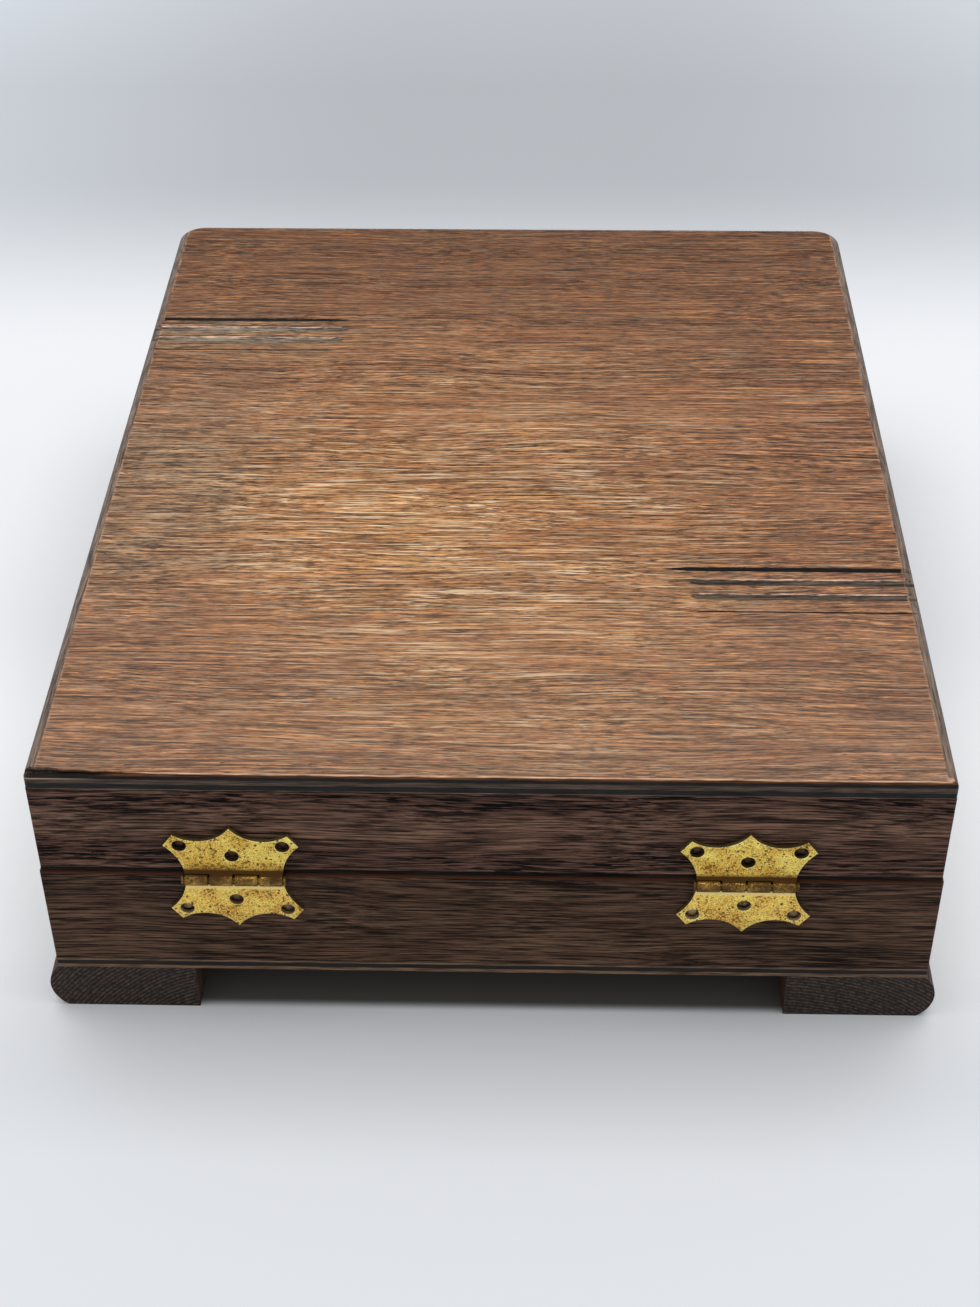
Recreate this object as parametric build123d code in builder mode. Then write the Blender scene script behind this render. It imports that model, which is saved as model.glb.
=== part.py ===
from build123d import *
import os
from math import radians, tan

# Silverware chest: a shallow oak case with a lid on two brass butterfly hinges.
# It stands on two runners. +Z is up, the hinges are at +Y and the catch is at -Y.
# The origin is under the middle of the whole chest, on the table it stands on.

# ---------------------------------------------------------------------------
# Driving dimensions, in millimetres and degrees
# ---------------------------------------------------------------------------

# The case
lid_width = 254.0
case_depth = 318.0
base_stand_out = 0.5  # each side of the base stands this far outside the lid
lid_wall_height = 31.5
base_wall_height = 35.4
wall_thickness = 8.0
rabbet_depth = 4.0  # how far a side wall's end is let into the front and back walls
top_panel_thickness = 6.0
bottom_panel_thickness = 4.0
front_corner_radius = 9.5  # seen from above, on both front corners
back_corner_ease = 0.6
seam_ease = 0.4  # the small bevel along both sides of the seam
top_arris_radius = 2.5
back_arris_radius = 1.0

# The cuts in the top: each of the two groups has a V cut, two coves and a fine line
vee_width = 2.3
vee_depth = 1.1
vee_cutter_radius = 55.0  # a cut fades out along the round of its cutter
cove_width = 3.8
cove_depth = 1.0
cove_cutter_radius = 10.0
line_width = 0.8
line_depth = 0.5
line_cutter_radius = 10.0
vee_to_cove = 6.3
cove_to_cove = 7.2
cove_to_line = 7.7
back_group_from_back = 95.8  # from the back face to the V cut of the group on the -X side
front_group_from_back = 245.3  # the same for the group on the +X side
back_group_lengths = (65.5, 64.5, 64.0, 64.5)  # each cut's run at full depth, from the side edge
front_group_lengths = (61.5, 66.5, 65.0, 64.0)

# The runners
runner_height = 16.4
runner_width = 40.7  # from the base's side to the runner's flat inner side
runner_bulge = 3.2  # how far the rounded outer side stands outside the base
runner_top_inset = 0.3  # how far inside the base's side the round begins
runner_foot_inset = 1.3  # and how far inside it the round ends, at the table
runner_front_setback = 10.0

# The screws that hold a runner
screws_per_runner = 3
screw_spacing = 120.0
screw_shank_radius = 1.6
screw_head_radius = 3.2
screw_head_angle = 90.0
screw_head_recess = 0.6  # the head's face lies this far above the runner's underside
screw_length = 32.0
screw_slot_width = 0.8
screw_slot_depth = 0.7

# Cloth-covered linings and pads
lining_thickness = 1.6
lining_below_rim = 1.5
lining_edge_radius = 0.6
pad_thickness = 3.0
pad_edge_radius = 1.0
soft_clearance = 0.3

# Slotted rests for spoons and forks in the base, slotted racks for knives in the lid
slots_per_bar = 6
slot_spacing = 37.0
tooth_corner_radius = 2.0
slot_bottom_radius = 2.5
base_bar_thickness = 18.0
base_bar_height = 20.0
base_bars_apart = 130.0
base_slot_width = 16.0
base_slot_depth = 13.0
lid_bar_thickness = 15.0
lid_bar_height = 16.0
lid_bars_apart = 150.0
lid_slot_depth = 11.0
blade_slot_width = 6.0
handle_slot_width = 13.0

# Butterfly hinges. The points of a leaf's outline and its nails are given as the
# distance from the leaf's middle and the distance from the hinge's axis
hinge_from_side = 55.0  # from the lid's side to a hinge's middle
hinge_sheet = 0.8
hinge_pin_radius = 0.9
hinge_running_clearance = 0.05
hinge_axis_below_seam = 0.6
barrel_off_wood = 0.3
knuckles = 4
knuckle_length = 6.75
knuckle_gap = 0.3
notch_clearance = 0.35
leaf_waist = (15.3, 7.2)
leaf_tip = (19.0, 12.3)
leaf_corner = (16.0, 16.4)
leaf_dip = (8.2, 14.0)
leaf_peak = (0.0, 18.2)
outer_nail = (14.4, 12.3)
middle_nail = (0.0, 8.5)
pin_head_radius = 1.45
pin_head_thickness = 0.6
pin_head_gap = 0.15

# Nails in the hinges and the catch, sunk flush in the brass
nail_shank_radius = 0.6
nail_head_radius = 1.6
nail_head_angle = 120.0
nail_head_recess = 0.1
nail_length = 6.5

# Every nail, screw and catch pin
pilot_clearance = 0.03
head_seat_clearance = 0.05

# Swing-hook catch
catch_sheet = 0.8
catch_plate_length = 24.0
catch_plate_height = 9.0
catch_nail_from_middle = 8.6
pivot_below_seam = 8.0
stud_above_seam = 8.0
pivot_radius = 1.0
pivot_running_clearance = 0.05
stud_radius = 1.2
knob_radius = 2.0
knob_thickness = 0.9
knob_edge_radius = 0.4
shank_in_wood = 5.0
hook_thickness = 1.2
hook_face_gap = 0.2
hook_eye_radius = 3.0
hook_arm_width = 3.4
hook_head_radius = 3.9
hook_stud_clearance = 0.3
hook_mouth_turn = 20.0  # how far the mouth's cut runs round the pivot
hook_tab_radius = 2.0
hook_tab_aside = 1.4
hook_tab_beyond = 4.6

# ---------------------------------------------------------------------------
# Places that follow from them
# ---------------------------------------------------------------------------

base_width = lid_width + 2 * base_stand_out

base_floor_z = runner_height + bottom_panel_thickness
seam_z = base_floor_z + base_wall_height
lid_ceiling_z = seam_z + lid_wall_height
top_z = lid_ceiling_z + top_panel_thickness

barrel_radius = hinge_pin_radius + hinge_running_clearance + hinge_sheet
hinge_axis_off_wood = barrel_radius + barrel_off_wood
knob_underside = catch_sheet + hook_thickness + 2 * hook_face_gap

# The barrels stand out at the back and the knobs at the front, and the origin is midway
back_stand_out = hinge_axis_off_wood + barrel_radius
front_stand_out = knob_underside + knob_thickness
case_middle_y = (front_stand_out - back_stand_out) / 2
back_y = case_middle_y + case_depth / 2
front_y = case_middle_y - case_depth / 2

sides = {"left": 1, "right": -1}

STANDING = (Align.CENTER, Align.CENTER, Align.MIN)
HANGING = (Align.CENTER, Align.CENTER, Align.MAX)

os.makedirs("parts", exist_ok=True)


def save(piece, name):
    """Label a finished piece and write it to its own file."""
    piece.label = name
    export_step(piece, f"parts/{name}.step")


# ---------------------------------------------------------------------------
# Where screws, nails and catch pins enter the wood
# ---------------------------------------------------------------------------


def leaf_plane(side, upward):
    """The wood under a hinge leaf: local y runs from the hinge's axis along the leaf."""
    hinge_x = lid_width / 2 - hinge_from_side
    axis_z = seam_z - hinge_axis_below_seam
    return Plane((side * hinge_x, back_y, axis_z), x_dir=(-upward, 0, 0), z_dir=(0, 1, 0))


def catch_plane(z):
    """The wood under a catch plate, with local y up and local z out of the front."""
    return Plane((0, front_y, z), x_dir=(1, 0, 0), z_dir=(0, -1, 0))


def runner_plane(side):
    """The table under a runner's screws, seen from below."""
    screw_x = base_width / 2 - wall_thickness / 2
    return Plane((side * screw_x, case_middle_y, 0), x_dir=(1, 0, 0), z_dir=(0, 0, -1))


lid_leaf_planes = {name: leaf_plane(side, 1) for name, side in sides.items()}
base_leaf_planes = {name: leaf_plane(side, -1) for name, side in sides.items()}
runner_planes = {name: runner_plane(side) for name, side in sides.items()}
pivot_plane = catch_plane(seam_z - pivot_below_seam)
stud_plane = catch_plane(seam_z + stud_above_seam)

leaf_nails = [(-outer_nail[0], outer_nail[1]), middle_nail, outer_nail]
catch_nails = [(-catch_nail_from_middle, 0), (catch_nail_from_middle, 0)]
first_screw = -screw_spacing * (screws_per_runner - 1) / 2
runner_screws = [(0, first_screw + row * screw_spacing) for row in range(screws_per_runner)]


def bore(plane, places, radius, depth):
    """Straight holes in the piece in hand, down from a plane."""
    with Locations(plane):
        with Locations(*places):
            Cylinder(radius, depth, align=HANGING, mode=Mode.SUBTRACT)


def bore_for_nails(plane, places):
    """Pilot holes in the wood for nails that come through a plate."""
    bore(plane, places, nail_shank_radius + pilot_clearance, nail_length)


def bore_for_screws(plane):
    """Pilot holes for a runner's screws, in whatever the piece in hand is."""
    bore(plane, runner_screws, screw_shank_radius + pilot_clearance, screw_head_recess + screw_length)


def countersink(plane, places, shank_radius, head_radius, head_angle, recess, depth):
    """Holes in the piece in hand for heads that lie a little below the plane."""
    mouth_radius = head_radius + recess * tan(radians(head_angle / 2)) + head_seat_clearance
    with Locations(plane):
        with Locations(*places):
            CounterSinkHole(shank_radius + pilot_clearance, mouth_radius, depth, head_angle)


def drive(plane, places, shank_radius, head_radius, head_angle, recess, length):
    """Nails or screws in those holes, added to the group in hand."""
    head_height = (head_radius - shank_radius) / tan(radians(head_angle / 2))
    with Locations(plane.offset(-recess)):
        with Locations(*places):
            Cylinder(shank_radius, length, align=HANGING)
            Cone(shank_radius, head_radius, head_height, align=HANGING)


def drive_nails(plane, places):
    """Nails through a brass plate whose outer face is the plane."""
    drive(plane, places, nail_shank_radius, nail_head_radius, nail_head_angle, nail_head_recess, nail_length)


def countersink_for_nails(plane, places, sheet):
    """The nails' holes in a brass plate whose outer face is the plane."""
    countersink(plane, places, nail_shank_radius, nail_head_radius, nail_head_angle, nail_head_recess, sheet)


# ---------------------------------------------------------------------------
# The walls: oak, with the side walls' ends let into rabbets
# ---------------------------------------------------------------------------


def case_form(width, bottom_z, height):
    """One layer of the case: square at the back, rounded at both front corners."""
    with BuildPart() as form:
        with BuildSketch(Plane((0, case_middle_y, bottom_z))):
            Rectangle(width, case_depth)
        extrude(amount=height)
        fillet(edges().filter_by(Axis.Z).group_by(Axis.Y)[0], front_corner_radius)
    return form.part


def end_wall_plan(z, width, outer_y, inward):
    """A front or back wall seen from above, with a rabbet for each side wall's end."""
    rabbet_x = width / 2 - wall_thickness / 2
    rabbet_y = outer_y + inward * (wall_thickness - rabbet_depth / 2)
    with BuildSketch(Plane.XY.offset(z)) as plan:
        with Locations((0, outer_y + inward * wall_thickness / 2)):
            Rectangle(width, wall_thickness)
        with Locations((-rabbet_x, rabbet_y), (rabbet_x, rabbet_y)):
            Rectangle(wall_thickness, rabbet_depth, mode=Mode.SUBTRACT)
    return plan.sketch


def side_wall_plan(z, width, side):
    """A side wall seen from above, reaching into the rabbets."""
    with BuildSketch(Plane.XY.offset(z)) as plan:
        with Locations((side * (width - wall_thickness) / 2, case_middle_y)):
            Rectangle(wall_thickness, case_depth - 2 * (wall_thickness - rabbet_depth))
    return plan.sketch


# The outsides of both boxes, eased along the seam
with BuildPart() as lid_walls_form:
    add(case_form(lid_width, seam_z, lid_wall_height))
    fillet(edges().filter_by(Axis.Z).group_by(Axis.Y)[-1], back_corner_ease)
    chamfer(faces().sort_by(Axis.Z)[0].edges(), seam_ease)

with BuildPart() as base_walls_form:
    add(case_form(base_width, base_floor_z, base_wall_height))
    fillet(edges().filter_by(Axis.Z).group_by(Axis.Y)[-1], back_corner_ease)
    chamfer(faces().sort_by(Axis.Z)[-1].edges(), seam_ease)

with BuildPart() as lid_back_wall:
    extrude(end_wall_plan(seam_z, lid_width, back_y, -1), amount=lid_wall_height)
    add(lid_walls_form.part, mode=Mode.INTERSECT)
    for plane in lid_leaf_planes.values():
        bore_for_nails(plane, leaf_nails)
save(lid_back_wall.part, "lid_back_wall")

with BuildPart() as lid_front_wall:
    extrude(end_wall_plan(seam_z, lid_width, front_y, 1), amount=lid_wall_height)
    add(lid_walls_form.part, mode=Mode.INTERSECT)
    bore_for_nails(stud_plane, catch_nails)
    bore(stud_plane, [(0, 0)], stud_radius + pilot_clearance, shank_in_wood)
save(lid_front_wall.part, "lid_front_wall")

for name, side in sides.items():
    with BuildPart() as lid_side_wall:
        extrude(side_wall_plan(seam_z, lid_width, side), amount=lid_wall_height)
        add(lid_walls_form.part, mode=Mode.INTERSECT)
    save(lid_side_wall.part, f"lid_{name}_wall")

with BuildPart() as base_back_wall:
    extrude(end_wall_plan(base_floor_z, base_width, back_y, -1), amount=base_wall_height)
    add(base_walls_form.part, mode=Mode.INTERSECT)
    for plane in base_leaf_planes.values():
        bore_for_nails(plane, leaf_nails)
save(base_back_wall.part, "base_back_wall")

with BuildPart() as base_front_wall:
    extrude(end_wall_plan(base_floor_z, base_width, front_y, 1), amount=base_wall_height)
    add(base_walls_form.part, mode=Mode.INTERSECT)
    bore_for_nails(pivot_plane, catch_nails)
    bore(pivot_plane, [(0, 0)], pivot_radius + pilot_clearance, shank_in_wood)
save(base_front_wall.part, "base_front_wall")

for name, side in sides.items():
    with BuildPart() as base_side_wall:
        extrude(side_wall_plan(base_floor_z, base_width, side), amount=base_wall_height)
        add(base_walls_form.part, mode=Mode.INTERSECT)
        bore_for_screws(runner_planes[name])
    save(base_side_wall.part, f"base_{name}_wall")

# ---------------------------------------------------------------------------
# The plywood panels
# ---------------------------------------------------------------------------

with BuildPart() as bottom_panel:
    add(case_form(base_width, runner_height, bottom_panel_thickness))
    fillet(edges().filter_by(Axis.Z).group_by(Axis.Y)[-1], back_corner_ease)
    for plane in runner_planes.values():
        bore_for_screws(plane)
save(bottom_panel.part, "bottom_panel")


def vee_section(plane, width, depth):
    """A V cut seen along its run, with local y up from the top face."""
    with BuildSketch(plane) as section:
        with BuildLine():
            Polyline((-width / 2, 0), (width / 2, 0), (0, -depth), close=True)
        make_face()
    return section.sketch


def cove_section(plane, width, depth):
    """A round-bottomed cut seen along its run, with local y up from the top face."""
    with BuildSketch(plane) as section:
        with BuildLine():
            Line((-width / 2, 0), (width / 2, 0))
            ThreePointArc((width / 2, 0), (0, -depth), (-width / 2, 0))
        make_face()
    return section.sketch


def mill(draw_section, width, depth, cutter_radius, y, side, length):
    """Run a cutter in from a side edge, then lift it out along its own round."""
    stop_x = side * (lid_width / 2 - length)
    section = draw_section(Plane((stop_x, y, top_z), x_dir=(0, side, 0), z_dir=(side, 0, 0)), width, depth)
    past_the_edge = 1
    quarter_turn = 90
    extrude(section, amount=length + past_the_edge, mode=Mode.SUBTRACT)
    spindle = Axis((stop_x, y, top_z + cutter_radius), (0, side, 0))
    revolve(section, axis=spindle, revolution_arc=quarter_turn, mode=Mode.SUBTRACT)


def mill_group(side, vee_from_back, lengths):
    """The four cuts of one group, from the V cut towards the back."""
    vee_y = back_y - vee_from_back
    near_cove_y = vee_y + vee_to_cove
    far_cove_y = near_cove_y + cove_to_cove
    line_y = far_cove_y + cove_to_line
    mill(vee_section, vee_width, vee_depth, vee_cutter_radius, vee_y, side, lengths[0])
    mill(cove_section, cove_width, cove_depth, cove_cutter_radius, near_cove_y, side, lengths[1])
    mill(cove_section, cove_width, cove_depth, cove_cutter_radius, far_cove_y, side, lengths[2])
    mill(vee_section, line_width, line_depth, line_cutter_radius, line_y, side, lengths[3])


with BuildPart() as lid_top_panel:
    add(case_form(lid_width, lid_ceiling_z, top_panel_thickness))
    rim = faces().sort_by(Axis.Z)[-1].edges().sort_by(Axis.Y)
    fillet(rim[:-1], top_arris_radius)
    fillet(faces().sort_by(Axis.Z)[-1].edges().sort_by(Axis.Y)[-1], back_arris_radius)
    mill_group(-1, back_group_from_back, back_group_lengths)
    mill_group(1, front_group_from_back, front_group_lengths)
save(lid_top_panel.part, "lid_top_panel")

# ---------------------------------------------------------------------------
# The runners and their screws
# ---------------------------------------------------------------------------

runner_length = case_depth - runner_front_setback


def runner_profile(side):
    """A runner's end grain, seen from the front: flat but for the round outer side."""
    inner_x = side * (base_width / 2 - runner_width)
    outer_top = (side * (base_width / 2 - runner_top_inset), runner_height)
    outer_foot = (side * (base_width / 2 - runner_foot_inset), 0)
    bulge = (side * (base_width / 2 + runner_bulge), runner_height / 2)
    with BuildSketch(Plane((0, back_y, 0), x_dir=(1, 0, 0), z_dir=(0, -1, 0))) as profile:
        with BuildLine():
            Polyline(outer_foot, (inner_x, 0), (inner_x, runner_height), outer_top)
            ThreePointArc(outer_top, bulge, outer_foot)
        make_face()
    return profile.sketch


for name, side in sides.items():
    with BuildPart() as runner:
        extrude(runner_profile(side), amount=runner_length, dir=(0, -1, 0))
        countersink(
            runner_planes[name], runner_screws, screw_shank_radius, screw_head_radius,
            screw_head_angle, screw_head_recess, runner_height,
        )
    save(runner.part, f"runner_{name}")

with BuildPart() as runner_screw_group:
    for plane in runner_planes.values():
        drive(
            plane, runner_screws, screw_shank_radius, screw_head_radius,
            screw_head_angle, screw_head_recess, screw_length,
        )
        with Locations(plane.offset(-screw_head_recess)):
            with Locations(*runner_screws):
                Box(
                    2 * screw_head_radius,
                    screw_slot_width,
                    screw_slot_depth,
                    align=HANGING,
                    mode=Mode.SUBTRACT,
                )
save(runner_screw_group.part, "runner_screws")

# ---------------------------------------------------------------------------
# Pads and wall linings: cloth over card
# ---------------------------------------------------------------------------

cavity_depth = case_depth - 2 * wall_thickness
cavity_widths = {"base": base_width - 2 * wall_thickness, "lid": lid_width - 2 * wall_thickness}
pad_top_z = base_floor_z + pad_thickness
ceiling_pad_z = lid_ceiling_z - pad_thickness
lining_spans = {
    "base": (pad_top_z, seam_z - lining_below_rim),
    "lid": (seam_z + lining_below_rim, ceiling_pad_z),
}


def pad(box, foot_z, open_side):
    """A pad that covers a box's floor or ceiling, with its edges rolled on the open side."""
    with BuildPart(Plane((0, case_middle_y, foot_z))) as cover:
        Box(
            cavity_widths[box] - 2 * soft_clearance,
            cavity_depth - 2 * soft_clearance,
            pad_thickness,
            align=STANDING,
        )
        fillet(edges().group_by(Axis.Z)[open_side], pad_edge_radius)
    return cover.part


def lining(box, centre_x, centre_y, length_x, length_y):
    """A covered card glued to a wall, with its long edges rolled."""
    foot_z, head_z = lining_spans[box]
    with BuildPart(Plane((centre_x, centre_y, foot_z))) as card:
        Box(length_x, length_y, head_z - foot_z, align=STANDING)
        run = Axis.X if length_x > length_y else Axis.Y
        fillet(edges().filter_by(run), lining_edge_radius)
    return card.part


save(pad("base", base_floor_z, -1), "base_floor_pad")
save(pad("lid", ceiling_pad_z, 0), "lid_ceiling_pad")

for box, cavity_width in cavity_widths.items():
    long_card = cavity_width - 2 * soft_clearance
    side_card = cavity_depth - 2 * (lining_thickness + soft_clearance)
    card_y = (cavity_depth - lining_thickness) / 2
    card_x = (cavity_width - lining_thickness) / 2
    save(lining(box, 0, case_middle_y + card_y, long_card, lining_thickness), f"{box}_back_lining")
    save(lining(box, 0, case_middle_y - card_y, long_card, lining_thickness), f"{box}_front_lining")
    for name, side in sides.items():
        card = lining(box, side * card_x, case_middle_y, lining_thickness, side_card)
        save(card, f"{box}_{name}_lining")

# ---------------------------------------------------------------------------
# Slotted bars: cloth-covered wood that holds the flatware, front to back
# ---------------------------------------------------------------------------


def slotted_bar(plane, length, height, thickness, slot_width, slot_depth):
    """A bar with open slots. The plane is its foot, and its slots open along local y."""
    with BuildPart() as bar:
        with BuildSketch(plane) as profile:
            Rectangle(length, height, align=(Align.CENTER, Align.MIN))
            with Locations((0, height)):
                with GridLocations(slot_spacing, 0, slots_per_bar, 1):
                    Rectangle(slot_width, slot_depth, align=(Align.CENTER, Align.MAX), mode=Mode.SUBTRACT)
            levels = profile.vertices().group_by(Axis.Y)
            fillet(levels[-1], tooth_corner_radius)
            fillet(profile.vertices().group_by(Axis.Y)[1], slot_bottom_radius)
        extrude(amount=thickness / 2, both=True)
    return bar.part


def bar_length(box):
    """From one side lining to the other."""
    return cavity_widths[box] - 2 * (lining_thickness + soft_clearance)


for name, toward_back in {"back": 1, "front": -1}.items():
    rest_y = case_middle_y + toward_back * base_bars_apart / 2
    rest_foot = Plane((0, rest_y, pad_top_z), x_dir=(1, 0, 0), z_dir=(0, -1, 0))
    rest = slotted_bar(
        rest_foot, bar_length("base"), base_bar_height, base_bar_thickness, base_slot_width, base_slot_depth
    )
    save(rest, f"base_{name}_rest")

for name, (toward_back, slot_width) in {
    "handle": (1, handle_slot_width),
    "blade": (-1, blade_slot_width),
}.items():
    rack_y = case_middle_y + toward_back * lid_bars_apart / 2
    rack_foot = Plane((0, rack_y, ceiling_pad_z), x_dir=(1, 0, 0), z_dir=(0, 1, 0))
    rack = slotted_bar(
        rack_foot, bar_length("lid"), lid_bar_height, lid_bar_thickness, slot_width, lid_slot_depth
    )
    save(rack, f"lid_{name}_rack")

# ---------------------------------------------------------------------------
# The butterfly hinges: stamped brass leaves rolled round a pin
# ---------------------------------------------------------------------------

knuckle_pitch = knuckle_length + knuckle_gap
barrel_length = knuckles * knuckle_pitch - knuckle_gap
bore_radius = hinge_pin_radius + hinge_running_clearance
knuckle_places = [(i - (knuckles - 1) / 2) * knuckle_pitch for i in range(knuckles)]

# Both leaves are one stamping: turned about, each fills the other's notches
own_knuckles = knuckle_places[1::2]
other_knuckles = knuckle_places[0::2]


def leaf_outline(plane):
    """The flat of a leaf, from the hinge's axis to its peak, with notches for the other's knuckles."""
    neck = (barrel_length / 2, 0)
    notch_depth = barrel_radius + notch_clearance
    with BuildSketch(plane) as outline:
        with BuildLine():
            ThreePointArc(neck, leaf_waist, leaf_tip)
            Line(leaf_tip, leaf_corner)
            ThreePointArc(leaf_corner, leaf_dip, leaf_peak)
            Line((0, 0), neck)
            mirror(about=Plane.YZ)
        make_face()
        with Locations(*[(x, 0) for x in other_knuckles]):
            Rectangle(
                knuckle_length + 2 * knuckle_gap,
                notch_depth,
                align=(Align.CENTER, Align.MIN),
                mode=Mode.SUBTRACT,
            )
    return outline.sketch


def hinge_leaf(plane):
    """One leaf on the wood, with its own knuckles round the pin."""
    with BuildPart() as leaf:
        extrude(leaf_outline(plane), amount=hinge_sheet)
        countersink_for_nails(plane.offset(hinge_sheet), leaf_nails, hinge_sheet)
        with Locations(plane):
            with Locations(*[(x, 0, hinge_axis_off_wood) for x in own_knuckles]):
                Cylinder(barrel_radius, knuckle_length, rotation=(0, 90, 0))
            with Locations((0, 0, hinge_axis_off_wood)):
                Cylinder(bore_radius, barrel_length, rotation=(0, 90, 0), mode=Mode.SUBTRACT)
    return leaf.part


def hinge_pin(plane):
    """The pin through a hinge's knuckles, with a peened head at each end."""
    head_from_middle = barrel_length / 2 + pin_head_gap + pin_head_thickness / 2
    with BuildPart() as pin:
        with Locations(plane.offset(hinge_axis_off_wood)):
            Cylinder(hinge_pin_radius, barrel_length + 2 * pin_head_gap, rotation=(0, 90, 0))
            with Locations((-head_from_middle, 0), (head_from_middle, 0)):
                Cylinder(pin_head_radius, pin_head_thickness, rotation=(0, 90, 0))
    return pin.part


for name in sides:
    save(hinge_leaf(lid_leaf_planes[name]), f"hinge_lid_leaf_{name}")
    save(hinge_leaf(base_leaf_planes[name]), f"hinge_base_leaf_{name}")
    save(hinge_pin(base_leaf_planes[name]), f"hinge_pin_{name}")

with BuildPart() as lid_hinge_nails:
    for plane in lid_leaf_planes.values():
        drive_nails(plane.offset(hinge_sheet), leaf_nails)
save(lid_hinge_nails.part, "lid_hinge_nails")

with BuildPart() as base_hinge_nails:
    for plane in base_leaf_planes.values():
        drive_nails(plane.offset(hinge_sheet), leaf_nails)
save(base_hinge_nails.part, "base_hinge_nails")

# ---------------------------------------------------------------------------
# The catch: a hook that swings up on the base to hold a stud on the lid
# ---------------------------------------------------------------------------


def catch_plate(plane, pin_radius):
    """A brass plate on the wood, with a hole for its pin and two for its nails."""
    with BuildPart() as plate:
        with BuildSketch(plane):
            SlotOverall(catch_plate_length, catch_plate_height)
        extrude(amount=catch_sheet)
        countersink_for_nails(plane.offset(catch_sheet), catch_nails, catch_sheet)
        bore(plane.offset(catch_sheet), [(0, 0)], pin_radius + pivot_running_clearance, catch_sheet)
    return plate.part


def knobbed_pin(plane, radius):
    """A pin from the wood out to a round knob that keeps the hook on."""
    with BuildPart() as pin:
        with Locations(plane.offset(-shank_in_wood)):
            Cylinder(radius, shank_in_wood + knob_underside, align=STANDING)
        with Locations(plane.offset(knob_underside)):
            Cylinder(knob_radius, knob_thickness, align=STANDING)
        fillet(edges().group_by(Axis.Y)[0], knob_edge_radius)
    return pin.part


save(catch_plate(pivot_plane, pivot_radius), "catch_base_plate")
save(catch_plate(stud_plane, stud_radius), "catch_keeper_plate")
save(knobbed_pin(pivot_plane, pivot_radius), "catch_pivot_pin")
save(knobbed_pin(stud_plane, stud_radius), "catch_stud")

with BuildPart() as catch_base_nails:
    drive_nails(pivot_plane.offset(catch_sheet), catch_nails)
save(catch_base_nails.part, "catch_base_nails")

with BuildPart() as catch_keeper_nails:
    drive_nails(stud_plane.offset(catch_sheet), catch_nails)
save(catch_keeper_nails.part, "catch_keeper_nails")

# The hook hangs from its pivot; swung half a turn, its mouth takes the stud. The mouth
# is cut along the stud's path round the pivot
hook_reach = pivot_below_seam + stud_above_seam
straight_down = -90

with BuildPart() as catch_hook:
    with BuildSketch(pivot_plane.offset(catch_sheet + hook_face_gap)):
        Circle(hook_eye_radius)
        Rectangle(hook_arm_width, hook_reach, align=(Align.CENTER, Align.MAX))
        with Locations((0, -hook_reach)):
            Circle(hook_head_radius)
        with Locations((-hook_tab_aside, -hook_reach - hook_tab_beyond)):
            Circle(hook_tab_radius)
        with BuildLine() as stud_path:
            CenterArc((0, 0), hook_reach, straight_down, hook_mouth_turn)
        SlotArc(stud_path.edge(), 2 * (stud_radius + hook_stud_clearance), mode=Mode.SUBTRACT)
        Circle(pivot_radius + pivot_running_clearance, mode=Mode.SUBTRACT)
    extrude(amount=hook_thickness)
save(catch_hook.part, "catch_hook")
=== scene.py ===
from math import asin, atan2, ceil, cos, pi, radians, sin, sqrt

import bmesh
import bpy
from mathutils import Matrix, Vector, noise


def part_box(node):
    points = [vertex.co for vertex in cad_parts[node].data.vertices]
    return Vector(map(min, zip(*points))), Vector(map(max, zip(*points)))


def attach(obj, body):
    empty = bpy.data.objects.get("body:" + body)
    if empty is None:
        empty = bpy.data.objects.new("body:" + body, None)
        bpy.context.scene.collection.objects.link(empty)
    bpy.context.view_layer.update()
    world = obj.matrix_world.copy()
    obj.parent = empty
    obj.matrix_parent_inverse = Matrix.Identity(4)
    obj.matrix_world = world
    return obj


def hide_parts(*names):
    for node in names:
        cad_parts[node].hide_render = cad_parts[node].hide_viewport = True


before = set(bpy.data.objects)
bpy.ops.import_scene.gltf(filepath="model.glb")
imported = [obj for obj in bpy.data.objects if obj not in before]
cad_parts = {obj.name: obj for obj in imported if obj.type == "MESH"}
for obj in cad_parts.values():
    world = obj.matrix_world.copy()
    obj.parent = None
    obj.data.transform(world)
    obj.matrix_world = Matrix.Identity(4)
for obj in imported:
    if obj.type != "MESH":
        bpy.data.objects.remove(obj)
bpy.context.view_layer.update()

# ---------------------------------------------------------------------------
# Camera. It is held above the back of the closed chest and looks down at the
# hinges, as in the photograph, through a plain lens with no shift.
# ---------------------------------------------------------------------------
mm = 0.001
back_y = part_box("lid_top_panel")[1].y
top_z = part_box("lid_top_panel")[1].z
seam_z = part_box("base_back_wall")[1].z

camera = bpy.data.objects.new("camera", bpy.data.cameras.new("camera"))
camera.data.lens = 57.69
camera.data.sensor_width = 36
# Its place is measured from the middle of the back, at the height of the seam
aside, away, above = -12.69 * mm, 420.1 * mm, 418.48 * mm
camera.location = (aside, back_y + away, seam_z + above)
turned, tipped, leaned = radians(181.646), radians(-38.801), radians(0.444)
camera.rotation_euler = (
    Matrix.Rotation(turned, 3, "Z")
    @ Matrix.Rotation(tipped, 3, "X")
    @ Matrix.Rotation(leaned, 3, "Y")
    @ Matrix.Rotation(pi / 2, 3, "X")
).to_euler()
bpy.context.scene.collection.objects.link(camera)
bpy.context.scene.camera = camera
bpy.context.scene.view_settings.view_transform = "Standard"


# ---------------------------------------------------------------------------
# Table and light. A sheet of white paper lies under the chest, with light and shade painted
# on it: its far part is painted a soft grey. One wide diffuser hangs over it in a pale room.
# ---------------------------------------------------------------------------
def linear(code):
    """An sRGB hex colour as the linear colour that a socket takes."""
    parts = [int(code[i:i + 2], 16) / 255 for i in (0, 2, 4)]
    return (*[p / 12.92 if p <= 0.04045 else ((p + 0.055) / 1.055) ** 2.4 for p in parts], 1)


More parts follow.
